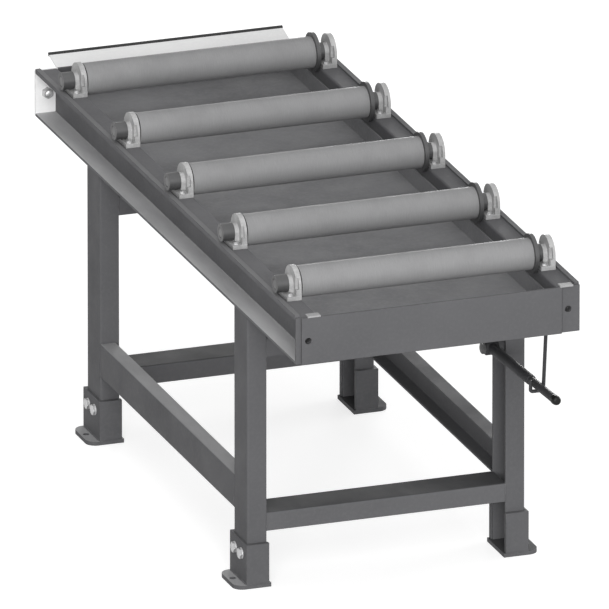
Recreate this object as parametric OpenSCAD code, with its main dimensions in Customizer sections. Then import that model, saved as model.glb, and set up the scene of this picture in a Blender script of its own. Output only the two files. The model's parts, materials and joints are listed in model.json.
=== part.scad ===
// Roller stand: five rollers over a drip tray between two channel rails,
// on a four-legged channel frame with sliding levelling feet and a side lever.
// Millimetres. X runs across the stand, Y along it, Z up from the floor.

/* [Table] */
// Length of the table from the front plate to the rear end plates
table_l = 1475; // [1200:5:1800]
// Width over the two side rails
table_w = 555; // [480:1:700]
// Height of the rail tops above the floor
table_h = 625; // [560:1:760]
// How far the apron and the lever reach past the table ends
overhang = 50; // [40:1:70]

/* [Side rails] */
// Height of a rail channel
rail_h = 90; // [84:1:110]
// Width of a rail flange
rail_flange = 45; // [42:1:56]
// Plate thickness of a rail
rail_t = 5; // [4:0.5:5]
// Width of the folded hem on the outer edge of the top flange
hem_w = 9.5; // [7:0.5:10]
// Height of that hem above the flange
hem_t = 4; // [2:0.5:4]

/* [End plates] */
// Thickness of the front plate
front_t = 5; // [3:0.5:8]
// Thickness of the plates that close the rail ends
end_t = 5; // [3:0.5:8]
// Width of rail end left bare by the front plate on the left
front_inset_left = 9.5; // [4:0.5:12]
// Width of rail end left bare by the front plate on the right
front_inset_right = 36.5; // [31:0.5:40]
// Diameter of the coupling bolt holes
coupling_d = 13; // [8:0.5:16]
// Length of a locating tab
tab_l = 16; // [12:1:30]
// Width of a locating tab
tab_w = 25; // [14:0.5:27]
// Thickness of a locating tab
tab_t = 3; // [2:0.5:5]

/* [Tray and apron] */
// Sheet thickness of the tray
tray_t = 2; // [1.5:0.5:3]
// Depth of the tray floor below the rail tops
tray_drop = 60; // [56:1:64]
// Height of the tray walls above its floor
tray_wall = 35; // [15:1:42]
// Sheet thickness of the rear apron
apron_t = 2; // [1.5:0.5:3]
// How far the apron reaches past the inside of each rail
apron_side = 1; // [-40:1:6]
// Rise of the apron's outer edge above the rail tops
apron_rise = 12; // [8:1:30]
// Depth of the apron's bolted flange
apron_flange = 30; // [20:1:40]
// Diameter of the edge trim on the apron
trim_d = 8; // [6:0.5:10]

/* [Rollers] */
// Distance from the front face to the first roller
roller_first = 130; // [100:1:160]
// Distance from the last roller to the rear face
roller_last = 145; // [110:1:180]
// Outer diameter of a roller tube
roller_d = 60; // [50:1:64]
// Wall of a roller tube
roller_wall = 3.5; // [2:0.5:5]
// Height of the roller axes above the rail tops
axis_rise = 25; // [25:0.5:32]
// Diameter of the roller shaft
shaft_d = 20; // [14:0.5:24]
// Diameter of the rim on the right-hand end of a roller
rim_d = 76; // [66:1:82]
// Thickness of that rim
rim_t = 7; // [4:0.5:10]
// Side gap between a turning roller and the rail webs
roller_side_gap = 2; // [0.8:0.1:3]
// Thickness of the end plugs in the tube
plug_t = 6; // [4:0.5:10]
// Diameter of the locking collars on a shaft
collar_d = 33; // [30:0.5:33]
// Diameter of the spacer ring between the rim and the right bracket
ring_d = 49; // [40:0.5:49]

/* [Bearing brackets] */
// Width of a bracket's foot across the rail
ledge_w = 28; // [27:0.5:28.5]
// Length of a bracket's foot along the rail
ledge_l = 66; // [66:1:72]
// Thickness of that foot
ledge_t = 8; // [6:0.5:8]
// Thickness of a bracket's upright
upright_t = 10; // [8:0.5:10.5]
// Width of the upright, which ends in a half circle round the roller axis
upright_w = 65; // [56:1:66]
// Diameter of the hub round the bush
hub_d = 31; // [30:0.5:34]
// Length of the hub with the upright
hub_l = 18; // [15:0.5:24]
// Width of the notch in the front edge of the upright
notch_w = 5; // [3:0.5:6]
// Height of that notch
notch_h = 22; // [10:1:26]
// Depth of that notch
notch_deep = 8; // [3:0.5:10]
// Outer diameter of the bush in a bracket
bush_d = 26; // [24:0.5:26]
// Diameter of the bracket bolts
bolt_d = 6; // [5:0.5:6]
// Spacing of the two bolts of a bracket
bolt_gap = 48; // [47:1:50]

/* [Legs and frame] */
// Depth of a leg along the stand
leg_d = 73.5; // [60:0.5:90]
// Width of a leg across the stand
leg_w = 38; // [30:0.5:40]
// Plate thickness of a leg
leg_t = 5; // [3:0.5:7]
// How far a leg is set in from the rail's outer edge
leg_inset = 4; // [1:0.5:6]
// Distance between the front and rear leg centres
leg_gap = 828; // [640:1:1000]
// Height of a cross bar
bar_h = 36; // [28:1:50]
// Plate thickness of bars and stretchers
bar_t = 4; // [3:0.5:5]
// Height of the underside of the lower cross bars
low_bar_z = 107; // [104:1:140]
// Distance from the underside of the rails down to that of the upper cross bars
high_bar_drop = 85; // [60:1:110]
// Height of a side stretcher
stretcher_h = 66; // [50:1:80]
// Width of a side stretcher
stretcher_w = 30; // [20:1:34]
// How far a stretcher is set in from the leg's outer face
stretcher_inset = 0.5; // [0:0.5:10]
// Height of the underside of the side stretchers
stretcher_z = 132; // [110:1:150]

/* [Feet] */
// Height of a foot
foot_h = 86; // [84:1:98]
// Thickness of the side walls of a foot
foot_side_t = 9.5; // [5:0.5:12]
// Thickness of the outer wall of a foot
foot_back_t = 4; // [4:0.5:8]
// Sliding clearance between a foot and its leg
foot_gap = 0.4; // [0.3:0.1:0.8]
// Thickness of the foot plate
plate_t = 8; // [6:0.5:12]
// How far the foot plate reaches outside the leg
plate_reach = 26.5; // [25:0.5:40]
// Corner radius of the foot plate
plate_r = 20; // [8:1:24]
// Diameter of the floor anchor hole
anchor_d = 12; // [8:0.5:13]
// Diameter of the clamp screws
clamp_d = 10; // [8:0.5:12]
// Height of the clamp screws above the floor
clamp_z = 62; // [50:1:72]
// Spacing of the two clamp screws of a foot
clamp_gap = 36; // [30:1:46]

/* [Lever] */
// How far the lever lies inside the right leg
lever_inset = 21; // [19:1:30]
// Distance from the middle of the front leg forwards to the lever pivot
pivot_shift = 12.5; // [0:0.5:14]
// Distance from the underside of the upper cross bars down to the lever pivot
lever_drop = 44; // [40:1:70]
// Height of the knob's end above the lever pivot
knob_rise = 16; // [0:1:20]
// Diameter of the thick part of the lever
lever_d = 20; // [16:1:24]
// Diameter of the thin part of the lever
rod_d = 16; // [8:1:18]
// Length of the thin part up to the knob
rod_l = 116; // [80:1:160]
// Diameter of the knob
knob_d = 18; // [16:1:26]
// Length of the knob
knob_l = 24; // [18:1:34]
// Diameter of the pivot bolt
pivot_d = 12; // [8:0.5:14]
// Diameter of the pivot boss and the lever's eye
boss_d = 28; // [24:1:34]
// Diameter of the wire of the lever hook
wire_d = 7; // [5:0.5:8]
// Distance from the front face to the lower end of the hook
hook_y = 61; // [50:1:80]
// Distance from the front face to the top of the hook
hook_top_y = 44; // [20:1:50]

/* [Hidden] */
$fn = 48;
seat_gap = 0.3;
roller_n = 5;
roller_pitch = (table_l - roller_first - roller_last) / (roller_n - 1);
run_gap = 0.05;
screw_gap = 0.3;
hook_side = 1;
cut = 1;

front_y = -table_l / 2;
rear_y = table_l / 2;
half_w = table_w / 2;
web_x = half_w - rail_flange;
rail_bottom = table_h - rail_h;
rail_y0 = front_y + front_t + end_t;
rail_y1 = rear_y - end_t;
rail_mid = half_w - rail_flange / 2;
coupling_z = table_h - rail_h / 2;
tray_floor = table_h - tray_drop;

axis_z = table_h + axis_rise;
roller_r = roller_d / 2;
roller_end = web_x - roller_side_gap;
tube_end = roller_end - rim_t;
shaft_r = shaft_d / 2;
hem_x = half_w - hem_w;
block_left = -web_x - 1 - ledge_w;
block_right = web_x + 3.5;
hub_in = ledge_w - hub_l;
notch_z = axis_z + 6;
bolt_in = (ledge_w - upright_t) / 2;
bolt_head_d = bolt_d * 1.7;
bolt_head_h = bolt_d * 0.65;
nut_h = bolt_d * 0.8;
ledge_z = table_h + ledge_t;

leg_out = half_w - leg_inset;
leg_in = leg_out - leg_w;
leg_z0 = plate_t + seat_gap;
leg_y = leg_gap / 2;
high_bar_z = rail_bottom - high_bar_drop;
stretcher_out = leg_out - stretcher_inset;

foot_out = leg_out + foot_gap + foot_back_t;
foot_in = leg_in - 2;
foot_d = leg_d + 2 * (foot_gap + foot_side_t);
plate_out = leg_out + plate_reach;
plate_in = foot_in - 4;
anchor_x = (foot_out + plate_out) / 2;
clamp_head_d = clamp_d * 1.85;
clamp_head_h = clamp_d * 0.65;

lever_x = leg_in - lever_inset;
lever_y = -leg_y - pivot_shift;
lever_z = high_bar_z - lever_drop;
lever_run = lever_y - front_y + overhang;
lever_tilt = atan2(knob_rise, lever_run);
knob_end_r = 0.35 * knob_d;
lever_len = (lever_run - knob_end_r * sin(lever_tilt)) / cos(lever_tilt);
eye_w = 24;
boss_x0 = lever_x + eye_w / 2 + seat_gap;
hook_x = lever_x + rod_d / 2 + hook_side + wire_d / 2;
hook_open = lever_x - rod_d / 2 - hook_side - wire_d / 2;
hook_y0 = front_y + hook_y;
hook_y1 = front_y + hook_top_y;
hook_lever_z = lever_z + (lever_y - hook_y0) * tan(lever_tilt);
hook_z0 = hook_lever_z - rod_d / 2 / cos(lever_tilt) - seat_gap - wire_d / 2;
hook_z1 = tray_floor - tray_t - wire_d;

// Frame paint, darker tray paint, zinc, bare steel and black parts
paint = [0.36, 0.37, 0.38];
zinc = [0.78, 0.79, 0.80];
steel = [0.62, 0.63, 0.64];
dark = [0.20, 0.20, 0.21];
white = [0.92, 0.92, 0.92];

// A rectangle with all four corners rounded
module round_rect(w, h, r) {
  translate([r, 0]) square([w - 2 * r, h]);
  translate([0, r]) square([w, h - 2 * r]);
  for (x = [r, w - r], y = [r, h - r])
    translate([x, y]) circle(r);
}

// A rectangle whose two corners at x = 0 are rounded
module round_back(w, h, r) {
  translate([r, 0]) square([w - r, h]);
  translate([0, r]) square([r, h - 2 * r]);
  for (y = [r, h - r])
    translate([r, y]) circle(r);
}

// A bent channel with its web at x = 0 and its mouth towards +x
module channel(w, h, t) {
  difference() {
    round_back(w, h, 0.8 * t);
    translate([t, t]) round_back(w, h - 2 * t, 0.4 * t);
  }
}

// Profiles drawn as (x, z) and run along Y, or drawn as (y, z) and run along X
module along_y(y0, y1) {
  translate([0, y1, 0]) rotate([90, 0, 0]) linear_extrude(y1 - y0) children();
}
module along_x(x0, x1) {
  translate([x0, 0, 0]) rotate([90, 0, 90]) linear_extrude(x1 - x0) children();
}

// A round bar along X
module bar_x(x0, x1, r) {
  translate([x0, 0, 0]) rotate([0, 90, 0]) cylinder(h = x1 - x0, r = r);
}

// A hexagon head or nut standing on z = 0, with two of its flats facing along x
module hex(af, h) {
  rotate(30) cylinder(h = h, r = af / 2 / cos(30), $fn = 6);
}

function roller_y(i) = front_y + roller_first + (i - 1) * roller_pitch;

// Places the children at both bolts of every bearing bracket
module at_bolts() {
  for (i = [1 : roller_n], x = [block_left, block_right], s = [-1, 1])
    translate([x + bolt_in, roller_y(i) + s * bolt_gap / 2, 0]) children();
}

module bolt_holes() {
  at_bolts() translate([0, 0, table_h - rail_t - cut])
    cylinder(h = rail_t + ledge_t + 2 * cut, d = bolt_d + 2 * screw_gap);
}

module rail_profile() {
  channel(rail_flange, rail_h, rail_t);
  translate([rail_flange - hem_w, rail_h]) square([hem_w, hem_t]);
}

module rail(side) {
  color(paint) difference() {
    mirror([side < 0 ? 1 : 0, 0, 0])
      translate([web_x, 0, rail_bottom]) along_y(rail_y0, rail_y1) rail_profile();
    bolt_holes();
  }
}

// Coupling bolt holes, one in the middle of each rail end
module coupling_holes(y) {
  for (s = [-1, 1])
    translate([s * rail_mid, y, coupling_z]) rotate([90, 0, 0])
      cylinder(h = 2 * (front_t + end_t + cut), d = coupling_d, center = true);
}

module front_plate() {
  x0 = -half_w + front_inset_left;
  x1 = half_w - front_inset_right;
  color(paint) difference() {
    translate([x0, front_y, rail_bottom]) cube([x1 - x0, front_t, rail_h]);
    coupling_holes(front_y);
  }
}

module rail_end_plates(y, shade) {
  color(shade) difference() {
    for (s = [-1, 1])
      translate([s * rail_mid - rail_flange / 2, y, rail_bottom])
        cube([rail_flange, end_t, rail_h]);
    coupling_holes(y + end_t / 2);
  }
}

module front_end_plates() {
  rail_end_plates(front_y + front_t, paint);
}

module rear_end_plates() {
  rail_end_plates(rear_y - end_t, white);
}

module rear_plate() {
  color(paint) translate([-web_x, rear_y - end_t, rail_bottom])
    cube([2 * web_x, end_t, rail_h]);
}

// Flat tabs on the front ends of the rail tops, set off to the right like the brackets
module locating_tabs() {
  color(zinc)
    for (x = [-web_x + 1.5 - tab_w, web_x + 5.5])
      translate([x, front_y, table_h]) cube([tab_w, tab_l, tab_t]);
}

module tray() {
  y0 = front_y + front_t;
  y1 = rear_y - end_t;
  color(paint) difference() {
    translate([-web_x, y0, tray_floor - tray_t])
      cube([2 * web_x, y1 - y0, tray_wall + tray_t]);
    translate([-web_x + tray_t, y0 + tray_t, tray_floor])
      cube([2 * (web_x - tray_t), y1 - y0 - 2 * tray_t, tray_wall + cut]);
  }
}

// The apron's flange lies against the rear plate, and its wing rises to the edge trim
wing_run = overhang - trim_d / 2;
wing_tilt = atan2(apron_rise, wing_run);
wing_len = (wing_run - apron_t / 2 * sin(wing_tilt)) / cos(wing_tilt);
wing_along = [cos(wing_tilt), sin(wing_tilt)];
wing_down = [sin(wing_tilt), -cos(wing_tilt)];
wing_end = [rear_y, table_h] + wing_len * wing_along;
bend_z = table_h + apron_t * tan(wing_tilt) - apron_t / cos(wing_tilt);
apron_x = web_x + apron_side;

module rear_apron() {
  color(white) along_x(-apron_x, apron_x)
    polygon([
      [rear_y, table_h - apron_flange],
      [rear_y + apron_t, table_h - apron_flange],
      [rear_y + apron_t, bend_z],
      wing_end + apron_t * wing_down,
      wing_end,
      [rear_y, table_h]
    ]);
}

module apron_edge_trim() {
  color(dark) along_x(-apron_x, apron_x)
    translate([rear_y, table_h]) rotate(wing_tilt) difference() {
      translate([wing_len, -apron_t / 2]) circle(d = trim_d);
      translate([wing_len - trim_d, -apron_t]) square([trim_d, apron_t]);
    }
}

// Legs stand with their webs outwards and their mouths towards the middle
module leg(side, end) {
  color(paint) mirror([side < 0 ? 1 : 0, 0, 0])
    translate([leg_out, end * leg_y - leg_d / 2, leg_z0])
      linear_extrude(rail_bottom - leg_z0) mirror([1, 0]) channel(leg_w, leg_d, leg_t);
}

// Cross bars lie flat between the legs, web up and mouth down
module cross_bar(end, z) {
  color(paint) translate([0, end * leg_y + leg_d / 2, z + bar_h])
    along_x(-leg_in, leg_in) rotate(-90) mirror([0, 1]) channel(bar_h, leg_d, bar_t);
}

// Stretchers run between the legs on each side, mouth towards the middle
module stretcher(side) {
  run = leg_gap - leg_d;
  color(paint) mirror([side < 0 ? 1 : 0, 0, 0])
    translate([stretcher_out, 0, stretcher_z]) along_y(-run / 2, run / 2)
      mirror([1, 0]) channel(stretcher_w, stretcher_h, bar_t);
}

module clamp_places() {
  for (s = [-1, 1])
    translate([0, s * clamp_gap / 2, clamp_z]) children();
}

// A foot is a channel shoe round its leg, on a plate with an anchor hole outside
module foot(side, end) {
  color(paint) mirror([side < 0 ? 1 : 0, 0, 0]) translate([0, end * leg_y, 0]) {
    difference() {
      translate([foot_in, -foot_d / 2, plate_t])
        cube([foot_out - foot_in, foot_d, foot_h - plate_t]);
      translate([foot_in - cut, -leg_d / 2 - foot_gap, plate_t - cut])
        cube([leg_out + foot_gap - foot_in + cut, leg_d + 2 * foot_gap, foot_h + cut]);
      clamp_places() bar_x(leg_out, foot_out + cut, clamp_d / 2 + run_gap);
    }
    difference() {
      linear_extrude(plate_t) {
        translate([plate_in, -foot_d / 2]) square([plate_out - plate_in - plate_r, foot_d]);
        translate([plate_in, -foot_d / 2]) round_rect(plate_out - plate_in, foot_d, plate_r);
        translate([plate_in, -foot_d / 2]) square([2 * plate_r, foot_d]);
      }
      translate([anchor_x, 0, -cut]) cylinder(h = plate_t + 2 * cut, d = anchor_d);
    }
  }
}

module clamp_screws(side, end) {
  color(zinc) mirror([side < 0 ? 1 : 0, 0, 0]) translate([0, end * leg_y, 0])
    clamp_places() {
      bar_x(leg_out + seat_gap, foot_out, clamp_d / 2);
      translate([foot_out, 0, 0]) rotate([0, 90, 0]) hex(clamp_head_d, clamp_head_h);
    }
}

module roller_tube(i) {
  color(steel) translate([0, roller_y(i), axis_z])
    difference() {
      bar_x(-roller_end, tube_end, roller_r);
      bar_x(-roller_end - cut, tube_end + cut, roller_r - roller_wall);
    }
}

// A plain plug closes the left end, and a wide rim on a spigot the right end
module roller_end_discs(i) {
  bore_r = roller_r - roller_wall;
  recess = 1.5;
  color(dark) translate([0, roller_y(i), axis_z])
    difference() {
      union() {
        bar_x(-roller_end + recess, -roller_end + recess + plug_t, bore_r);
        bar_x(tube_end - plug_t, tube_end, bore_r);
        bar_x(tube_end, roller_end, rim_d / 2);
      }
      bar_x(-web_x, web_x, shaft_r);
    }
}

shaft_left = -half_w + 2.5;
shaft_right = block_right + ledge_w + 2;

module roller_shaft(i) {
  chamfer = 1.5;
  color(steel) translate([0, roller_y(i), axis_z]) {
    bar_x(shaft_left + chamfer, shaft_right - chamfer, shaft_r);
    translate([shaft_left, 0, 0]) rotate([0, 90, 0])
      cylinder(h = chamfer, r1 = shaft_r - chamfer, r2 = shaft_r);
    translate([shaft_right - chamfer, 0, 0]) rotate([0, 90, 0])
      cylinder(h = chamfer, r1 = shaft_r, r2 = shaft_r - chamfer);
  }
}

// The left collar locks the shaft outside its bracket, and a stepped ring spaces the rim
// from the right bracket
module lock_collars(i) {
  color(dark) translate([0, roller_y(i), axis_z])
    difference() {
      union() {
        bar_x(shaft_left, block_left + hub_in - seat_gap, collar_d / 2);
        bar_x(roller_end, block_right + hub_in - seat_gap, collar_d / 2);
        bar_x(roller_end, block_right - seat_gap, ring_d / 2);
      }
      bar_x(-half_w, half_w, shaft_r);
    }
}

// A bolted foot with an upright on its right edge, rounded about the roller axis,
// and a hub that carries the bush
module bearing_bracket(x0) {
  up_x = x0 + ledge_w - upright_t;
  difference() {
    union() {
      translate([x0, -ledge_l / 2, table_h]) cube([ledge_w, ledge_l, ledge_t]);
      translate([up_x, -upright_w / 2, table_h]) cube([upright_t, upright_w, axis_rise]);
      translate([x0 + hub_in, -hub_d / 2, table_h]) cube([hub_l, hub_d, axis_rise]);
      translate([0, 0, axis_z]) {
        bar_x(x0 + hub_in, x0 + ledge_w, hub_d / 2);
        difference() {
          bar_x(up_x, up_x + upright_t, upright_w / 2);
          translate([up_x - cut, -upright_w, -upright_w])
            cube([upright_t + 2 * cut, 2 * upright_w, upright_w]);
        }
      }
    }
    translate([0, 0, axis_z]) bar_x(x0 - cut, x0 + ledge_w + cut, bush_d / 2);
    translate([up_x - cut, -upright_w / 2 - cut, notch_z - notch_h / 2])
      cube([notch_w + cut, notch_deep + cut, notch_h]);
  }
}

module bearing_blocks(i) {
  color(zinc) difference() {
    translate([0, roller_y(i), 0]) {
      bearing_bracket(block_left);
      bearing_bracket(block_right);
    }
    bolt_holes();
  }
}

module bearing_bushes() {
  color(steel) for (i = [1 : roller_n], x = [block_left, block_right])
    translate([0, roller_y(i), axis_z])
      difference() {
        bar_x(x + hub_in, x + ledge_w, bush_d / 2);
        bar_x(x - cut, x + ledge_w + cut, shaft_r + run_gap);
      }
}

module block_bolts() {
  nut_z = table_h - rail_t - nut_h;
  color(zinc) at_bolts() {
    translate([0, 0, ledge_z]) hex(bolt_head_d, bolt_head_h);
    translate([0, 0, nut_z]) cylinder(h = ledge_z - nut_z, d = bolt_d);
    translate([0, 0, nut_z]) hex(bolt_head_d, nut_h);
  }
}

// The lever's own line, from its eye at the pivot forwards to the knob
module lever_frame() {
  translate([lever_x, lever_y, lever_z]) rotate([90 - lever_tilt, 0, 0]) children();
}

module lever_arm() {
  tube_l = lever_len - knob_l - rod_l;
  color(dark) difference() {
    union() {
      lever_frame() {
        cylinder(h = tube_l, d = lever_d);
        cylinder(h = lever_len - knob_l, d = rod_d);
      }
      translate([0, lever_y, lever_z]) bar_x(lever_x - eye_w / 2, lever_x + eye_w / 2, boss_d / 2);
    }
    translate([0, lever_y, lever_z])
      bar_x(lever_x - eye_w, lever_x + eye_w, pivot_d / 2 + run_gap);
  }
}

module lever_knob() {
  r = knob_d / 2;
  color(dark) lever_frame() translate([0, 0, lever_len - knob_l])
    rotate_extrude() {
      square([knob_end_r, knob_l]);
      translate([0, knob_l * 0.15]) square([r * 0.85, knob_l * 0.75]);
      translate([0, knob_l * 0.3]) square([r, knob_l * 0.5]);
    }
}

// The boss is welded into the front right leg and carries the pivot bolt
module pivot_boss() {
  color(paint) translate([0, lever_y, lever_z])
    difference() {
      bar_x(boss_x0, leg_out - leg_t, boss_d / 2);
      bar_x(boss_x0 - cut, leg_out - leg_t - cut, pivot_d / 2);
    }
}

module pivot_bolt() {
  head_h = pivot_d * 0.6;
  head_x = lever_x - eye_w / 2 - seat_gap;
  color(zinc) translate([0, lever_y, lever_z]) {
    bar_x(head_x - head_h / 2, leg_out - leg_t - cut, pivot_d / 2);
    translate([head_x - head_h, 0, 0]) rotate([0, 90, 0]) hex(pivot_d * 1.6, head_h);
  }
}

// A straight wire between two points, with a ball at its start
module wire(a, b) {
  d = b - a;
  l = norm(d);
  translate(a) {
    sphere(d = wire_d + 0.4);
    rotate([0, acos(d[2] / l), atan2(d[1], d[0])]) cylinder(h = l, d = wire_d);
  }
}

// The hook hangs behind the front plate and carries the lever at rest
module lever_hook() {
  top = [hook_x, hook_y1, hook_z1];
  low = [hook_x, hook_y0, hook_z0];
  turn = [hook_open, hook_y0, hook_z0];
  tip = [hook_open, hook_y0, hook_z0 + rod_d + wire_d / 2];
  color(dark) {
    wire(top, low);
    wire(low, turn);
    wire(turn, tip);
    translate(tip) sphere(d = wire_d + 0.4);
    translate([hook_x - 8, front_y + front_t, hook_z1 - 6]) cube([12, hook_top_y - front_t, 12]);
  }
}

rail(-1);  // left_rail
rail(1);  // right_rail
front_plate();
front_end_plates();
rear_plate();
rear_end_plates();
locating_tabs();
tray();
rear_apron();
apron_edge_trim();
leg(-1, -1);  // leg_front_left
leg(1, -1);  // leg_front_right
leg(-1, 1);  // leg_rear_left
leg(1, 1);  // leg_rear_right
cross_bar(-1, low_bar_z);  // lower_bar_front
cross_bar(1, low_bar_z);  // lower_bar_rear
cross_bar(-1, high_bar_z);  // upper_bar_front
cross_bar(1, high_bar_z);  // upper_bar_rear
stretcher(-1);  // stretcher_left
stretcher(1);  // stretcher_right
foot(-1, -1);  // foot_front_left
foot(1, -1);  // foot_front_right
foot(-1, 1);  // foot_rear_left
foot(1, 1);  // foot_rear_right
clamp_screws(-1, -1);  // clamp_screws_front_left
clamp_screws(1, -1);  // clamp_screws_front_right
clamp_screws(-1, 1);  // clamp_screws_rear_left
clamp_screws(1, 1);  // clamp_screws_rear_right
roller_tube(1);  // roller_tube_1
roller_end_discs(1);  // roller_end_discs_1
roller_shaft(1);  // roller_shaft_1
lock_collars(1);  // lock_collars_1
bearing_blocks(1);  // bearing_blocks_1
roller_tube(2);  // roller_tube_2
roller_end_discs(2);  // roller_end_discs_2
roller_shaft(2);  // roller_shaft_2
lock_collars(2);  // lock_collars_2
bearing_blocks(2);  // bearing_blocks_2
roller_tube(3);  // roller_tube_3
roller_end_discs(3);  // roller_end_discs_3
roller_shaft(3);  // roller_shaft_3
lock_collars(3);  // lock_collars_3
bearing_blocks(3);  // bearing_blocks_3
roller_tube(4);  // roller_tube_4
roller_end_discs(4);  // roller_end_discs_4
roller_shaft(4);  // roller_shaft_4
lock_collars(4);  // lock_collars_4
bearing_blocks(4);  // bearing_blocks_4
roller_tube(5);  // roller_tube_5
roller_end_discs(5);  // roller_end_discs_5
roller_shaft(5);  // roller_shaft_5
lock_collars(5);  // lock_collars_5
bearing_blocks(5);  // bearing_blocks_5
bearing_bushes();
block_bolts();
lever_arm();
lever_knob();
pivot_boss();
pivot_bolt();
lever_hook();
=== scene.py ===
import json
import math

import bmesh
import bpy
from mathutils import Matrix, Vector


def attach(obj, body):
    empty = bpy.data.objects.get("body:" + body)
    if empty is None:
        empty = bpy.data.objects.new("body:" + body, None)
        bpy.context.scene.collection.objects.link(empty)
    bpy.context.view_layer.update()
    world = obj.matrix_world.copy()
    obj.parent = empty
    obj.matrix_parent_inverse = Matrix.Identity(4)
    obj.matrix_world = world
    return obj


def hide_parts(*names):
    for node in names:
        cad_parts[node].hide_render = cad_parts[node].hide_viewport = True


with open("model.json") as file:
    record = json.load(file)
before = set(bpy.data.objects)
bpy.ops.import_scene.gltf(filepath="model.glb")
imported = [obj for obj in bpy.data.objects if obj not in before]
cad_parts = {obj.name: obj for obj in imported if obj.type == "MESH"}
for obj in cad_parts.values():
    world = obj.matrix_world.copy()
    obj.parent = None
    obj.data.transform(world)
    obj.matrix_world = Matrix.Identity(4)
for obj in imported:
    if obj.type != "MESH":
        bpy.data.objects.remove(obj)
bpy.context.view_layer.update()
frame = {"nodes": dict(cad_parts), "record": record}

# The looks of the roller stand, and its small parts that have more form than their solids.
# Lengths are in metres, and tones are grey levels from 0 to 255, as they show on the screen.

# Sizes, with the names and the values that they have in part.scad

TABLE_L, TABLE_W, TABLE_H, OVERHANG = 1.475, 0.555, 0.625, 0.050
HALF_W, FRONT_Y, REAR_Y = TABLE_W / 2, -TABLE_L / 2, TABLE_L / 2
RAIL_H, RAIL_FLANGE, RAIL_T, HEM_T = 0.090, 0.045, 0.005, 0.004
RAIL_BOTTOM = TABLE_H - RAIL_H
WEB_X = HALF_W - RAIL_FLANGE
FRONT_T, END_T = 0.005, 0.005
COUPLING_X, COUPLING_Z = HALF_W - RAIL_FLANGE / 2, TABLE_H - RAIL_H / 2
TRAY_T, TRAY_DROP = 0.002, 0.060

ROLLER_FIRST, ROLLER_PITCH, ROLLER_N = 0.130, 0.300, 5
ROLLER_Y = [FRONT_Y + ROLLER_FIRST + ROLLER_PITCH * k for k in range(ROLLER_N)]
LEDGE_W, LEDGE_T, UPRIGHT_T = 0.028, 0.008, 0.010
BLOCK_X = (-WEB_X - 0.001 - LEDGE_W, WEB_X + 0.0035)
BOLT_D, BOLT_GAP = 0.006, 0.048
BOLT_IN = (LEDGE_W - UPRIGHT_T) / 2

LEG_D, LEG_W, LEG_GAP, LEG_INSET = 0.0735, 0.038, 0.828, 0.004
LEG_OUT = HALF_W - LEG_INSET
LEG_IN = LEG_OUT - LEG_W
LEG_Y = LEG_GAP / 2
BAR_H, LOW_BAR_Z, HIGH_BAR_DROP = 0.036, 0.107, 0.085
HIGH_BAR_Z = RAIL_BOTTOM - HIGH_BAR_DROP
STRETCHER_H, STRETCHER_Z, STRETCHER_OUT = 0.066, 0.132, LEG_OUT - 0.0005
FOOT_GAP, FOOT_BACK_T, FOOT_SIDE_T, PLATE_T = 0.0004, 0.004, 0.0095, 0.008
FOOT_OUT, FOOT_IN = LEG_OUT + FOOT_GAP + FOOT_BACK_T, LEG_IN - 0.002
FOOT_D = LEG_D + 2 * (FOOT_GAP + FOOT_SIDE_T)
CLAMP_D, CLAMP_Z, CLAMP_GAP = 0.010, 0.062, 0.036

SEAT_GAP, RUN_GAP = 0.0003, 0.00005
PIVOT_D, BOSS_D, EYE_W = 0.012, 0.028, 0.024
LEVER_R, ROD_R, ROD_L = 0.010, 0.008, 0.116
KNOB_D, KNOB_L, KNOB_RISE = 0.018, 0.024, 0.016
LEVER_X, LEVER_Y, LEVER_Z = LEG_IN - 0.021, -LEG_Y - 0.0125, HIGH_BAR_Z - 0.044
LEVER_RUN = LEVER_Y - FRONT_Y + OVERHANG
TILT = math.atan2(KNOB_RISE, LEVER_RUN)
LEVER_LEN = (LEVER_RUN - 0.35 * KNOB_D * math.sin(TILT)) / math.cos(TILT)

WIRE_R, HOOK_SIDE = 0.0035, 0.001
HOOK_X = LEVER_X + ROD_R + HOOK_SIDE + WIRE_R
HOOK_OPEN = LEVER_X - ROD_R - HOOK_SIDE - WIRE_R
HOOK_Y0, HOOK_Y1 = FRONT_Y + 0.061, FRONT_Y + 0.044
HOOK_Z0 = (LEVER_Z + (LEVER_Y - HOOK_Y0) * math.tan(TILT) - ROD_R / math.cos(TILT)
           - SEAT_GAP - WIRE_R)
HOOK_Z1 = TABLE_H - TRAY_DROP - TRAY_T - 2 * WIRE_R

CORNERS = {"front_left": (-1, -1), "front_right": (1, -1),
           "rear_left": (-1, 1), "rear_right": (1, 1)}


# Colours and node trees

def srgb(tone):
    """A tone as a linear number."""
    c = tone / 255
    return c / 12.92 if c <= 0.04045 else ((c + 0.055) / 1.055) ** 2.4


def grey(tone, blue=0.0):
    """A linear grey, with so much more in the blue."""
    return (srgb(tone), srgb(tone), srgb(tone + blue), 1.0)


class NodeTree:
    """A short way to write the node tree of a material or a world."""

    def __init__(self, owner):
        owner.use_nodes = True
        self.nodes, self.links = owner.node_tree.nodes, owner.node_tree.links
        self.nodes.clear()

    def node(self, kind, inputs=None):
        return self.wire(self.nodes.new("ShaderNode" + kind), inputs or {})

    def wire(self, node, inputs):
        """Gives each input of a node a value, or the output of another node."""
        for key, value in inputs.items():
            if isinstance(value, bpy.types.NodeSocket):
                self.links.new(value, node.inputs[key])
            else:
                node.inputs[key].default_value = value
        return node

    def math(self, operation, first, second):
        node = self.node("Math")
        node.operation = operation
        return self.wire(node, {0: first, 1: second}).outputs[0]

    def times(self, first, second):
        return self.math("MULTIPLY", first, second)

    def background_ray(self):
        """1 for the camera and for what is mirrored or seen through, 0 for light that spreads."""
        path = self.node("LightPath").outputs
        indirect = self.math("MAXIMUM", path["Is Glossy Ray"], path["Is Transmission Ray"])
        return self.math("MAXIMUM", path["Is Camera Ray"], indirect)


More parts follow.
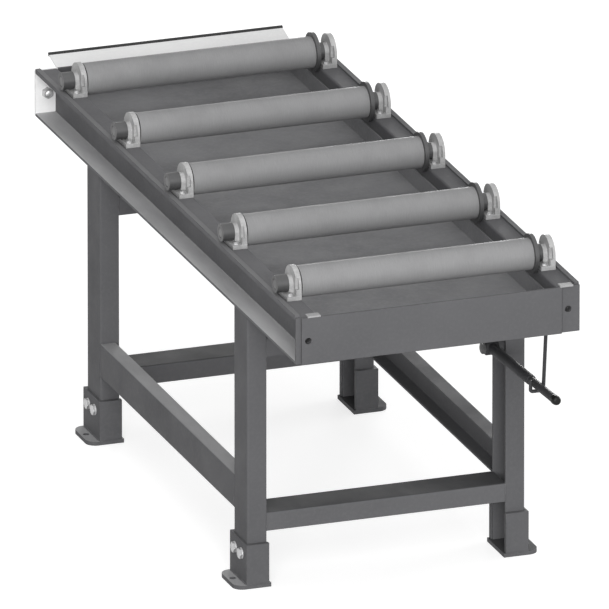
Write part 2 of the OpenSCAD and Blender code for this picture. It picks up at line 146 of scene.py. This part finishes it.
class Material(NodeTree):
    """A material whose patterns are laid out in the object's own space."""

    def __init__(self, name):
        self.made = bpy.data.materials.new(name)
        super().__init__(self.made)
        self.place = self.node("TexCoord").outputs["Object"]

    def scaled(self, x, y, z):
        return self.node("Mapping", {"Vector": self.place, "Scale": (x, y, z)}).outputs["Vector"]

    def noise(self, scale, detail=3, rough=0.55, vector=None, distortion=0.0):
        inputs = {"Vector": vector or self.place, "Scale": scale, "Detail": detail,
                  "Roughness": rough, "Distortion": distortion}
        return self.node("TexNoise", inputs).outputs["Fac"]

    def ramp(self, value, low, high, start=0.0, end=1.0):
        """Goes from start to end while the value goes from low to high."""
        inputs = {"Value": value, "From Min": low, "From Max": high, "To Min": start, "To Max": end}
        return self.node("MapRange", inputs).outputs["Result"]

    def mix(self, factor, first, second):
        node = self.node("Mix")
        node.data_type = "RGBA"
        return self.wire(node, {"Factor": factor, "A": first, "B": second}).outputs["Result"]

    def upward(self, vector):
        """The vertical part of a vector."""
        return self.node("SeparateXYZ", {0: vector}).outputs["Z"]

    def geometry(self, output):
        return self.node("NewGeometry").outputs[output]

    def rounded(self, radius):
        """The normal of the surface, as if its edges were rounded."""
        node = self.node("Bevel", {"Radius": radius})
        node.samples = 4
        return node.outputs["Normal"]

    def edge(self, radius, flat=0.97, sharp=0.80):
        """0 on the flat, 1 near a sharp edge."""
        node = self.node("VectorMath", {0: self.rounded(radius), 1: self.geometry("True Normal")})
        node.operation = "DOT_PRODUCT"
        return self.ramp(node.outputs["Value"], flat, sharp)

    def bump(self, height, strength, distance, normal):
        inputs = {"Height": height, "Strength": strength, "Distance": distance, "Normal": normal}
        return self.node("Bump", inputs).outputs["Normal"]

    def finish(self, color, roughness, normal, metallic=0.0, specular=0.5):
        inputs = {"Base Color": color, "Roughness": roughness, "Normal": normal,
                  "Metallic": metallic, "Specular IOR Level": specular}
        shader = self.node("BsdfPrincipled", inputs)
        self.node("OutputMaterial", {"Surface": shader.outputs[0]})
        return self.made


def paint(name, tone, blue=2, rough=0.66, wear_tone=150, dust=0.35, painted_light_shade=(), shade=0.90):
    """Powder-coated steel: orange peel, slight blotches, dust on top faces, rubbed edges.

    A band of painted light or painted shade lightens or darkens the top faces between two heights,
    with a tone and a most that it covers. The shade is how dark the blotches and streaks are,
    against the coat.
    """
    m = Material(name)
    base, dark = grey(tone, blue), grey(tone * shade, blue)
    light = grey(min(255, tone * 1.08), blue / 2)

    blotches = m.ramp(m.noise(scale=4.5, detail=5, rough=0.6), 0.35, 0.65)
    color = m.mix(blotches, dark, base)
    fine_grain = m.ramp(m.noise(scale=160, detail=2, rough=0.5), 0.45, 0.75, 0.0, 0.35)
    color = m.mix(fine_grain, color, light)
    long_noise = m.noise(scale=9, detail=4, rough=0.6, vector=m.scaled(6, 6, 0.7))
    color = m.mix(m.ramp(long_noise, 0.55, 0.8, 0.0, 0.25), color, dark)

    top = m.ramp(m.upward(m.geometry("Normal")), 0.6, 0.95)
    dust_cover = m.ramp(m.noise(scale=22, detail=5, rough=0.65), 0.42, 0.7, 0.0, dust)
    color = m.mix(m.times(top, dust_cover), color, light)
    height = m.upward(m.place) if painted_light_shade else None
    # Bands of painted light and painted shade: each lightens or darkens the top faces between two
    # heights.
    for (low, high), painted_tone, most in painted_light_shade:
        inside = m.times(m.math("GREATER_THAN", height, low), m.math("LESS_THAN", height, high))
        painted_patch_noise = m.noise(scale=7, detail=5, rough=0.62, vector=m.scaled(2, 0.5, 1))
        cover = m.ramp(painted_patch_noise, 0.3, 0.6, most * 0.72, most)
        color = m.mix(m.times(m.times(inside, top), cover), color, grey(painted_tone, blue=1))

    chips = m.times(m.edge(0.0016), m.ramp(m.noise(scale=55, detail=4, rough=0.7), 0.50, 0.62))
    color = m.mix(m.times(chips, 0.55), color, grey(wear_tone, blue=2))
    scratch_noise = m.noise(scale=34, detail=6, rough=0.75, vector=m.scaled(1.0, 9.0, 5.0),
                            distortion=1.2)
    scratches = m.ramp(scratch_noise, 0.69, 0.73)
    color = m.mix(m.times(scratches, 0.22), color, light)

    roughness = m.ramp(m.noise(scale=14, detail=4, rough=0.6), 0.3, 0.7, rough - 0.06, rough + 0.10)
    orange_peel = m.noise(scale=620, detail=2, rough=0.5)
    normal = m.bump(orange_peel, strength=0.10, distance=0.0004, normal=m.rounded(0.0012))
    normal = m.bump(scratches, strength=0.12, distance=0.0003, normal=normal)
    return m.finish(color, roughness, normal, specular=0.18)


def steel(name, tone, rough=0.35, metallic=0.75, grain=(1, 1, 1), grain_scale=300,
          edge_light=215, specular=0.5):
    """Bare or plated steel: fine grain along one way, smudges and brighter edges."""
    m = Material(name)
    line = m.noise(scale=grain_scale, detail=3, rough=0.6, vector=m.scaled(*grain))
    smudge = m.noise(scale=16, detail=5, rough=0.62)
    base, light = grey(tone, blue=1), grey(min(250, tone * 1.12))
    color = m.mix(m.ramp(line, 0.35, 0.65, 0.0, 0.5), base, light)
    color = m.mix(m.ramp(smudge, 0.45, 0.75, 0.0, 0.25), color, grey(tone * 0.80))
    color = m.mix(m.times(m.edge(0.0012), 0.35), color, grey(edge_light))
    roughness = m.ramp(smudge, 0.3, 0.7, rough - 0.07, rough + 0.12)
    normal = m.bump(line, strength=0.06, distance=0.0003, normal=m.rounded(0.0008))
    return m.finish(color, roughness, normal, metallic=metallic, specular=specular)


def cast(name, tone):
    """A cast alloy bracket, blasted and lightly machined."""
    m = Material(name)
    clouds = m.ramp(m.noise(scale=40, detail=5, rough=0.65), 0.4, 0.65)
    color = m.mix(clouds, grey(tone * 0.88), grey(tone))
    grains = m.ramp(m.noise(scale=300, detail=3, rough=0.6), 0.5, 0.72, 0.0, 0.4)
    color = m.mix(grains, color, grey(tone * 1.08))
    color = m.mix(m.times(m.edge(0.0014), 0.4), color, grey(min(250, tone * 1.15)))
    roughness = m.ramp(m.noise(scale=90), 0.3, 0.7, 0.42, 0.58)
    blasting = m.noise(scale=420, detail=3, rough=0.6)
    normal = m.bump(blasting, strength=0.18, distance=0.0004, normal=m.rounded(0.0010))
    return m.finish(color, roughness, normal, metallic=0.12)


def plastic(name, tone, rough=0.4, specular=0.45):
    """Moulded plastic or rubber with a fine texture and greasy patches."""
    m = Material(name)
    patches = m.ramp(m.noise(scale=30, detail=4, rough=0.6), 0.35, 0.7)
    color = m.mix(patches, grey(tone), grey(tone * 1.35 + 4))
    roughness = m.ramp(m.noise(scale=24, detail=4), 0.3, 0.7, rough - 0.08, rough + 0.12)
    texture = m.noise(scale=500, detail=3, rough=0.6)
    normal = m.bump(texture, strength=0.10, distance=0.0003, normal=m.rounded(0.0008))
    return m.finish(color, roughness, normal, specular=specular)


# Looks of the CAD nodes: by the slot of the record, and for some nodes a look of their own

def lying_at(height, below=0.001, above=0.001):
    """The range of heights that a band of painted light or shade on a level face is given by."""
    return (height - below, height + above)


# Heights of the level faces that get bands of painted light or painted shade.
ON_LOW_FLANGE = lying_at(RAIL_BOTTOM + RAIL_T, 0.002, 0.020)
ON_HEM = lying_at(TABLE_H + HEM_T, 0.0028)
ON_BAR = lying_at(LOW_BAR_Z + BAR_H)
ON_STRETCHER = lying_at(STRETCHER_Z + STRETCHER_H)
ON_FOOT_PLATE = lying_at(PLATE_T)

LOOKS = {
    "frame": paint("frame_coat", 95, shade=0.945),
    # The left rail's coat is lighter than the frame coat, as painted light on its shaded web. Its
    # band on the lower flange is painted light, and its band on the hem is a painted highlight.
    "rail_left": paint("rail_left_coat_painted_light", 106, dust=0.2,
                       painted_light_shade=((ON_LOW_FLANGE, 208, 0.95), (ON_HEM, 120, 0.8))),
    # The band on the right rail's lower flange is painted light.
    "rail_right": paint("rail_right_coat_painted_light", 97, dust=0.15, painted_light_shade=((ON_LOW_FLANGE, 150, 0.6),)),
    # The band on the tops of the lower bars is painted shade.
    "bar": paint("bar_coat_painted_shade", 99, dust=0.1, painted_light_shade=((ON_BAR, 60, 0.75),), shade=0.95),
    # The band on the left stretcher's top is painted light.
    "stretcher": paint("stretcher_left_coat_painted_light", 99, painted_light_shade=((ON_STRETCHER, 160, 0.85),)),
    # The bands on the foot plates are painted light on the left feet and painted shade on the right
    # feet.
    "foot_left": paint("foot_left_coat_painted_light", 96, painted_light_shade=((ON_FOOT_PLATE, 168, 0.9),)),
    "foot_right": paint("foot_right_coat_painted_shade", 96, painted_light_shade=((ON_FOOT_PLATE, 58, 0.8),)),
    # The tray's coat is lighter than the frame coat, as painted light against the shade in its
    # recess.
    "tray": paint("tray_coat_painted_light", 140, dust=0.45),
    "lever": paint("lever_coat", 58, rough=0.55, wear_tone=104, dust=0.2),
    "white": paint("white_coat", 248, blue=0, rough=0.45, wear_tone=205, dust=0.1, shade=0.965),
    "tube": steel("tube_satin", 141, rough=0.50, metallic=0.05, grain=(40, 1, 1), grain_scale=60,
                  specular=0.05),
    "shaft": steel("shaft_turned", 96, rough=0.40, metallic=0.6, grain=(60, 1, 1), grain_scale=60),
    "dark": steel("blackened", 84, rough=0.45, metallic=0.5, grain=(30, 1, 1), grain_scale=60,
                  edge_light=130),
    "zinc": steel("zinc_plate", 190, metallic=0.6),
    "tab": steel("tab_zinc", 158, rough=0.5, metallic=0.25, specular=0.25),
    "bronze": steel("bush_bronze", 150, rough=0.4, metallic=0.8, grain=(40, 1, 1), grain_scale=60),
    "block": cast("block_cast", 182),
    "trim": plastic("trim_rubber", 24, rough=0.6),
    "knob": plastic("knob_moulded", 11, rough=0.42, specular=0.22),
}
SLOT_LOOK = {
    "frame_paint": "frame", "white_paint": "white", "trim_rubber": "trim", "zinc_steel": "zinc",
    "tube_steel": "tube", "shaft_steel": "shaft", "dark_steel": "dark", "block_alloy": "block",
    "bush_bronze": "bronze", "black_paint": "lever", "knob_plastic": "knob",
}
OWN_LOOK = {
    "left_rail": "rail_left", "right_rail": "rail_right", "tray": "tray", "locating_tabs": "tab",
    "lower_bar_front": "bar", "lower_bar_rear": "bar", "stretcher_left": "stretcher",
    "foot_front_left": "foot_left", "foot_rear_left": "foot_left",
    "foot_front_right": "foot_right", "foot_rear_right": "foot_right",
}
for part in frame["record"]["subparts"]:
    node, slot = part["node"], part["material_slot"]
    materials = frame["nodes"][node].data.materials
    materials.clear()
    materials.append(LOOKS[OWN_LOOK.get(node, SLOT_LOOK[slot])])


# Mesh makers

SEGMENTS = 48
TURN_X = Matrix.Rotation(math.radians(90), 4, "Y")
TURN_BACK_X = Matrix.Rotation(math.radians(-90), 4, "Y")
FLIP = Matrix.Rotation(math.radians(180), 4, "X")


def move(x, y, z):
    return Matrix.Translation((x, y, z))


def skin(bm, rings, closed=False):
    """Joins rings of equal length, and closes both ends or joins the last ring to the first."""
    rows = [[bm.verts.new(point) for point in ring] for ring in rings]
    pairs = list(zip(rows, rows[1:]))
    if closed:
        pairs.append((rows[-1], rows[0]))
    count = len(rows[0])
    for low, high in pairs:
        for k in range(count):
            following = (k + 1) % count
            bm.faces.new((low[k], low[following], high[following], high[k]))
    if not closed:
        bm.faces.new(rows[0][::-1])
        bm.faces.new(rows[-1])


def spun(bm, rows, place, closed=False):
    """A form round an axis. Each row has a radius and a height for each of its directions."""
    rings = []
    for row in rows:
        angles = [2 * math.pi * k / len(row) for k in range(len(row))]
        rings.append([place @ Vector((radius * math.cos(a), radius * math.sin(a), height))
                      for (radius, height), a in zip(row, angles)])
    skin(bm, rings, closed)


def turned(bm, profile, place, segments=SEGMENTS, closed=False):
    """A turned form. The profile is a list of radius and height."""
    spun(bm, [[point] * segments for point in profile], place, closed)


def hexagon(flat):
    """The radius of a hexagon in each direction. Flat is the radius to the middle of a side."""
    degrees = [360 * k / SEGMENTS for k in range(SEGMENTS)]
    return [flat / math.cos(math.radians((d + 30) % 60 - 30)) for d in degrees]


def hex_head(bm, across, height, place, washer, washer_t, stub=0.0):
    """A hexagon with rounded-off corners on a washer face. A stub is the end of a screw."""
    flat = across / 2
    crown = flat * 0.93
    face = washer / 2
    sides = hexagon(flat)
    foot = [(face, 0.0), (face, washer_t * 0.7), (face - washer_t * 0.4, washer_t)]
    rows = [[point] * SEGMENTS for point in foot]
    rows += [[(r, washer_t) for r in sides],
             [(r, height - (r - crown) * 0.55) for r in sides],
             [(crown, height)] * SEGMENTS]
    if stub:
        end = [(1.10, 0.0), (1.02, -0.15), (0.94, -0.05), (0.80, 0.12)]
        rows += [[(stub * wide, height + stub * rise)] * SEGMENTS for wide, rise in end]
    spun(bm, rows, place)


def along(points, radii, segments):
    """Rings round a path, with a radius for each point."""
    rings = []
    side = None
    for k, point in enumerate(points):
        ahead = points[min(k + 1, len(points) - 1)] - points[max(k - 1, 0)]
        ahead.normalize()
        if side is None:
            side = ahead.orthogonal().normalized()
        side = (side - ahead * side.dot(ahead)).normalized()
        other = ahead.cross(side)
        angles = [2 * math.pi * j / segments for j in range(segments)]
        rings.append([point + (side * math.cos(a) + other * math.sin(a)) * radii[k]
                      for a in angles])
    return rings


def bead(bm, start, end, radius=0.0019, pitch=0.0034, fade=0.004):
    """A weld bead: a small rippled bar along a seam, thinner towards its ends."""
    start, end = Vector(start), Vector(end)
    run = (end - start).length
    steps = max(6, int(run / pitch * 3))
    points, radii = [], []
    for k in range(steps + 1):
        f = k / steps
        ripple = 0.86 + 0.14 * math.cos(2 * math.pi * f * run / pitch)
        wander = 0.94 + 0.06 * math.sin(f * run * 210 + start.x * 40 + start.z * 30)
        taper = min(1.0, 0.35 + min(f, 1 - f) * run / fade)
        points.append(start.lerp(end, f))
        radii.append(radius * ripple * wander * taper)
    skin(bm, along(points, radii, 8))


def bent(corners, radius, step=0.0012):
    """A path through corner points, with each inner corner turned on a radius."""
    corners = [Vector(corner) for corner in corners]
    path = [corners[0]]
    for before, here, after in zip(corners, corners[1:], corners[2:]):
        a, b = (before - here).normalized(), (after - here).normalized()
        angle = a.angle(b)
        back = radius / math.tan(angle / 2)
        first, last = here + a * back, here + b * back
        middle = here + (a + b).normalized() * (radius / math.sin(angle / 2))
        turns = max(4, int(radius * (math.pi - angle) / step))
        for k in range(turns + 1):
            spoke = (first - middle).slerp(last - middle, k / turns)
            path.append(middle + spoke.normalized() * radius)
    path.append(corners[-1])
    return path


def new_piece(name, bm, look, body, smooth_deg=35):
    """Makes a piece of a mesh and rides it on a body."""
    mesh = bpy.data.meshes.new(name)
    bmesh.ops.recalc_face_normals(bm, faces=bm.faces)
    bm.to_mesh(mesh)
    bm.free()
    piece = bpy.data.objects.new(name, mesh)
    bpy.context.scene.collection.objects.link(piece)
    mesh.shade_smooth()
    mesh.set_sharp_from_angle(angle=math.radians(smooth_deg))
    mesh.materials.append(LOOKS[look])
    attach(piece, body)
    return piece


# Bolts and nuts of the brackets, and clamp screws of the feet

head, head_h, nut_h = BOLT_D * 1.7, BOLT_D * 0.65, BOLT_D * 0.8
ledge_z, nut_z = TABLE_H + LEDGE_T, TABLE_H - RAIL_T
bm = bmesh.new()
for y in ROLLER_Y:
    for x in BLOCK_X:
        for shift in (-BOLT_GAP / 2, BOLT_GAP / 2):
            spot = move(x + BOLT_IN, y + shift, 0)
            hex_head(bm, head, head_h, spot @ move(0, 0, ledge_z), washer=0.0126, washer_t=0.0010)
            turned(bm, [(BOLT_D / 2, nut_z - 0.0005), (BOLT_D / 2, ledge_z + 0.0002)], spot, 16)
            hex_head(bm, head, nut_h, spot @ move(0, 0, nut_z) @ FLIP, washer=0.0106,
                     washer_t=0.0004, stub=BOLT_D / 2)
bolts = new_piece("bracket_bolts", bm, "zinc", "frame")
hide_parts("block_bolts")

for corner, (sx, sy) in CORNERS.items():
    bm = bmesh.new()
    for shift in (-CLAMP_GAP / 2, CLAMP_GAP / 2):
        spot = move(sx * FOOT_OUT, sy * LEG_Y + shift, CLAMP_Z)
        spot = spot @ (TURN_X if sx > 0 else TURN_BACK_X)
        hex_head(bm, CLAMP_D * 1.85, CLAMP_D * 0.65, spot, washer=0.0215, washer_t=0.0013)
        tip = SEAT_GAP - (FOOT_OUT - LEG_OUT)
        turned(bm, [(CLAMP_D / 2 - 0.0008, tip), (CLAMP_D / 2, tip + 0.0008),
                    (CLAMP_D / 2, 0.0004)], spot, 32)
    screws = new_piece("foot_screws_" + corner, bm, "zinc", "foot_" + corner)
    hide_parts("clamp_screws_" + corner)

# Weld beads: legs to rails, cross bars and stretchers to legs, shoes to foot plates

BAR_BEAD, STRETCHER_BEAD = 0.0015, 0.0017
BACK = 0.003
bm = bmesh.new()
for sx in (-1, 1):
    for sy in (-1, 1):
        outer, inner = sx * LEG_OUT, sx * LEG_IN
        front, rear = sy * LEG_Y - LEG_D / 2, sy * LEG_Y + LEG_D / 2
        bead(bm, (outer, front + BACK, RAIL_BOTTOM), (outer, rear - BACK, RAIL_BOTTOM))
        for y in (front, rear):
            bead(bm, (outer - sx * BACK, y, RAIL_BOTTOM), (inner + sx * 0.0035, y, RAIL_BOTTOM))
        for z in (LOW_BAR_Z, HIGH_BAR_Z):
            top = z + BAR_H
            for y in (front, rear):
                bead(bm, (inner, y, z + 0.001), (inner, y, top - 0.002), BAR_BEAD)
            for y, inward in ((front, 1), (rear, -1)):
                bead(bm, (inner, y + inward * 0.0005, top), (inner, y + inward * 0.0055, top),
                     BAR_BEAD)
        near, face = (rear if sy < 0 else front), sx * STRETCHER_OUT
        low, high = STRETCHER_Z, STRETCHER_Z + STRETCHER_H
        bead(bm, (face, near, low + 0.002), (face, near, high - 0.002), STRETCHER_BEAD)
        for z in (low, high):
            bead(bm, (face - sx * 0.002, near, z), (face - sx * 0.029, near, z), STRETCHER_BEAD)
new_piece("weld_beads", bm, "frame", "frame", 60)

for corner, (sx, sy) in CORNERS.items():
    bm = bmesh.new()
    outer = sx * FOOT_OUT
    front, rear = sy * LEG_Y - FOOT_D / 2, sy * LEG_Y + FOOT_D / 2
    bead(bm, (outer, front + BACK, PLATE_T), (outer, rear - BACK, PLATE_T), 0.0024, 0.004)
    for y in (front, rear):
        bead(bm, (outer - sx * BACK, y, PLATE_T), (sx * FOOT_IN, y, PLATE_T), 0.0012, 0.004)
    new_piece("foot_beads_" + corner, bm, "frame", "foot_" + corner, 60)


# Weld nuts behind the coupling holes

def weld_nut(bm, place, blind):
    """A hexagon weld nut with a threaded bore. A blind one has a closed end."""
    flat, height, thread, thread_top = 0.0092, 0.0115, 0.0009, 0.0105
    sides = hexagon(flat)
    rows = [[(0.0057 if k % 2 else 0.0062, thread_top - k * thread)] * SEGMENTS for k in range(11)]
    rows += [[(0.0063, 0.0)] * SEGMENTS,
             [(r, 0.0) for r in sides],
             [(r - (r - flat) * 0.5, height - 0.0007) for r in sides],
             [(0.0088, height)] * SEGMENTS,
             [(0.0035, height + 0.0009) if blind else (0.0060, height)] * SEGMENTS]
    spun(bm, rows, place, closed=not blind)


for end, look, y, turn in (("front", "dark", FRONT_Y + FRONT_T + END_T, -90),
                           ("rear", "zinc", REAR_Y - END_T, 90)):
    bm = bmesh.new()
    for sx in (-1, 1):
        spot = move(sx * COUPLING_X, y, COUPLING_Z)
        weld_nut(bm, spot @ Matrix.Rotation(math.radians(turn), 4, "X"), end == "front")
    new_piece("weld_nuts_" + end, bm, look, "frame")

# Lever with its eye, knob, hook and pivot

lever_place = move(LEVER_X, LEVER_Y, LEVER_Z) @ Matrix.Rotation(math.radians(90) - TILT, 4, "X")
eye_place = move(LEVER_X, LEVER_Y, LEVER_Z) @ TURN_X
knob_start = LEVER_LEN - KNOB_L
shoulder = knob_start - ROD_L
eye_half, eye_r, eye_bore, chamfer = EYE_W / 2, BOSS_D / 2, PIVOT_D / 2 + RUN_GAP, 0.0012

bm = bmesh.new()
turned(bm, [(LEVER_R, 0.010), (LEVER_R, shoulder - 0.004), (LEVER_R - 0.0004, shoulder - 0.0015),
            (LEVER_R - 0.0012, shoulder - 0.0004), (ROD_R, shoulder), (ROD_R, knob_start - 0.0006),
            (ROD_R - 0.0006, knob_start)], lever_place)
turned(bm, [(eye_bore, -eye_half), (eye_r - chamfer, -eye_half), (eye_r, chamfer - eye_half),
            (eye_r, eye_half - chamfer), (eye_r - chamfer, eye_half), (eye_bore, eye_half)],
       eye_place, closed=True)
lever = new_piece("lever_bar", bm, "lever", "lever")
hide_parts("lever_arm")

bm = bmesh.new()
knob_profile = [(0.0058, 0.0), (0.0066, 0.0002), (0.0074, 0.0012), (0.0079, 0.0030),
                (0.0084, 0.0056), (0.0088, 0.0085), (0.0090, 0.0115), (0.0090, 0.0150),
                (0.0088, 0.0178), (0.0083, 0.0202), (0.0074, 0.0222), (0.0060, 0.0233),
                (0.0042, 0.0239), (0.0020, 0.0240)]
turned(bm, [(r, knob_start + h) for r, h in knob_profile], lever_place)
knob = new_piece("lever_grip", bm, "knob", "lever")
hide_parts("lever_knob")

route = bent([(HOOK_X, HOOK_Y1, HOOK_Z1), (HOOK_X, HOOK_Y0, HOOK_Z0),
              (HOOK_OPEN, HOOK_Y0, HOOK_Z0), (HOOK_OPEN, HOOK_Y0, HOOK_Z0 + 0.0222)], 0.0044)
bm = bmesh.new()
skin(bm, along(route, [WIRE_R] * (len(route) - 1) + [WIRE_R * 0.8], 18))
lug = bmesh.ops.create_cube(bm, size=1.0)["verts"]
lug_side, lug_y = 0.012, FRONT_Y + FRONT_T
for v in lug:
    v.co = Vector((HOOK_X - 0.002 + v.co.x * lug_side,
                   lug_y + (v.co.y + 0.5) * (HOOK_Y1 - lug_y),
                   HOOK_Z1 + v.co.z * lug_side))
lug_edges = list(dict.fromkeys(e for v in lug for e in v.link_edges))
bmesh.ops.bevel(bm, geom=lug_edges, offset=0.0012, segments=2, affect="EDGES", profile=0.5)
hook = new_piece("hook_wire", bm, "lever", "frame")
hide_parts("lever_hook")

bm = bmesh.new()
spot = move(LEVER_X - EYE_W / 2 - SEAT_GAP, LEVER_Y, LEVER_Z) @ TURN_BACK_X
hex_head(bm, PIVOT_D * 1.6, PIVOT_D * 0.6, spot, washer=0.0215, washer_t=0.0013)
turned(bm, [(PIVOT_D / 2, -0.05), (PIVOT_D / 2, 0.001)], spot, 32)
pivot = new_piece("pivot_screw", bm, "dark", "frame")
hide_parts("pivot_bolt")

# Stage: a pale floor that the camera sees as white, with the stand's shadow on it

FLOOR_HALF, FLOOR_GLOW = 14.0, 0.72
bm = bmesh.new()
bmesh.ops.create_grid(bm, x_segments=1, y_segments=1, size=FLOOR_HALF)
floor_mesh = bpy.data.meshes.new("floor")
bm.to_mesh(floor_mesh)
bm.free()
floor = bpy.data.objects.new("floor", floor_mesh)
bpy.context.scene.collection.objects.link(floor)
m = Material("floor_pale")
diffuse = m.node("BsdfDiffuse", {"Color": (0.50, 0.50, 0.50, 1)})
strength = m.times(m.background_ray(), FLOOR_GLOW)
glow = m.node("Emission", {"Color": (1, 1, 1, 1), "Strength": strength})
both = m.node("AddShader", {0: diffuse.outputs[0], 1: glow.outputs[0]})
m.node("OutputMaterial", {"Surface": both.outputs[0]})
floor_mesh.materials.append(m.made)

# World: a soft fill for the object, and white behind it

scene = bpy.context.scene
scene.view_settings.view_transform = "Standard"
scene.world = bpy.data.worlds.new("studio")
w = NodeTree(scene.world)
fill = w.node("Background", {"Color": (1, 1, 1, 1), "Strength": 0.36})
white = w.node("Background", {"Color": (1, 1, 1, 1), "Strength": 1.0})
sky = w.node("MixShader", {0: w.background_ray(), 1: fill.outputs[0], 2: white.outputs[0]})
w.node("OutputWorld", {"Surface": sky.outputs[0]})


# Lamps: two large ones before the stand, and weaker ones above, behind and on the right

def area_lamp(name, place, target, width, height, watts):
    lamp = bpy.data.lights.new(name, "AREA")
    lamp.shape = "RECTANGLE"
    lamp.size, lamp.size_y = width, height
    lamp.energy = watts
    holder = bpy.data.objects.new(name, lamp)
    scene.collection.objects.link(holder)
    holder.location = place
    aim = Vector(target) - Vector(place)
    holder.rotation_euler = aim.to_track_quat("-Z", "Y").to_euler()


area_lamp("front", (-3.7, -11.0, 2.6), (0, 0, 0.35), 8.0, 4.4, 790)
area_lamp("key", (-3.1, -9.5, 6.7), (0, 0, 0.45), 5.7, 5.7, 450)
area_lamp("overhead", (0, 0, 6.0), (0, 0, 0.4), 6.0, 6.0, 62)
area_lamp("rear", (2.3, 4.5, 0.7), (0, 0, 0.35), 1.3, 1.3, 90)
area_lamp("right", (9.0, 1.5, 2.0), (0, 0, 0.35), 4.0, 3.0, 330)

# Camera: the photograph is nearly a parallel projection, so the lens is very long

LENS, SENSOR = 1700.0, 36.0
M_PER_PX, FRAME_PX = 1.866 / 1000, 609
side, rise = math.radians(-19.58), math.radians(19.72)
back = Vector((math.sin(side) * math.cos(rise), -math.cos(side) * math.cos(rise), math.sin(rise)))
view = (-back).to_track_quat("-Z", "Y")
right, up = view @ Vector((1, 0, 0)), view @ Vector((0, 1, 0))
centre = Vector((0, 0, 0.344)) + right * -0.0004 + up * 0.0263

lens = bpy.data.cameras.new("camera")
lens.sensor_width, lens.sensor_fit, lens.lens = SENSOR, "HORIZONTAL", LENS
lens.clip_start, lens.clip_end = 1.0, 2000.0
camera = bpy.data.objects.new("camera", lens)
scene.collection.objects.link(camera)
scene.camera = camera
camera.location = centre + back * (FRAME_PX * M_PER_PX * LENS / SENSOR)
camera.rotation_mode = "QUATERNION"
camera.rotation_quaternion = view
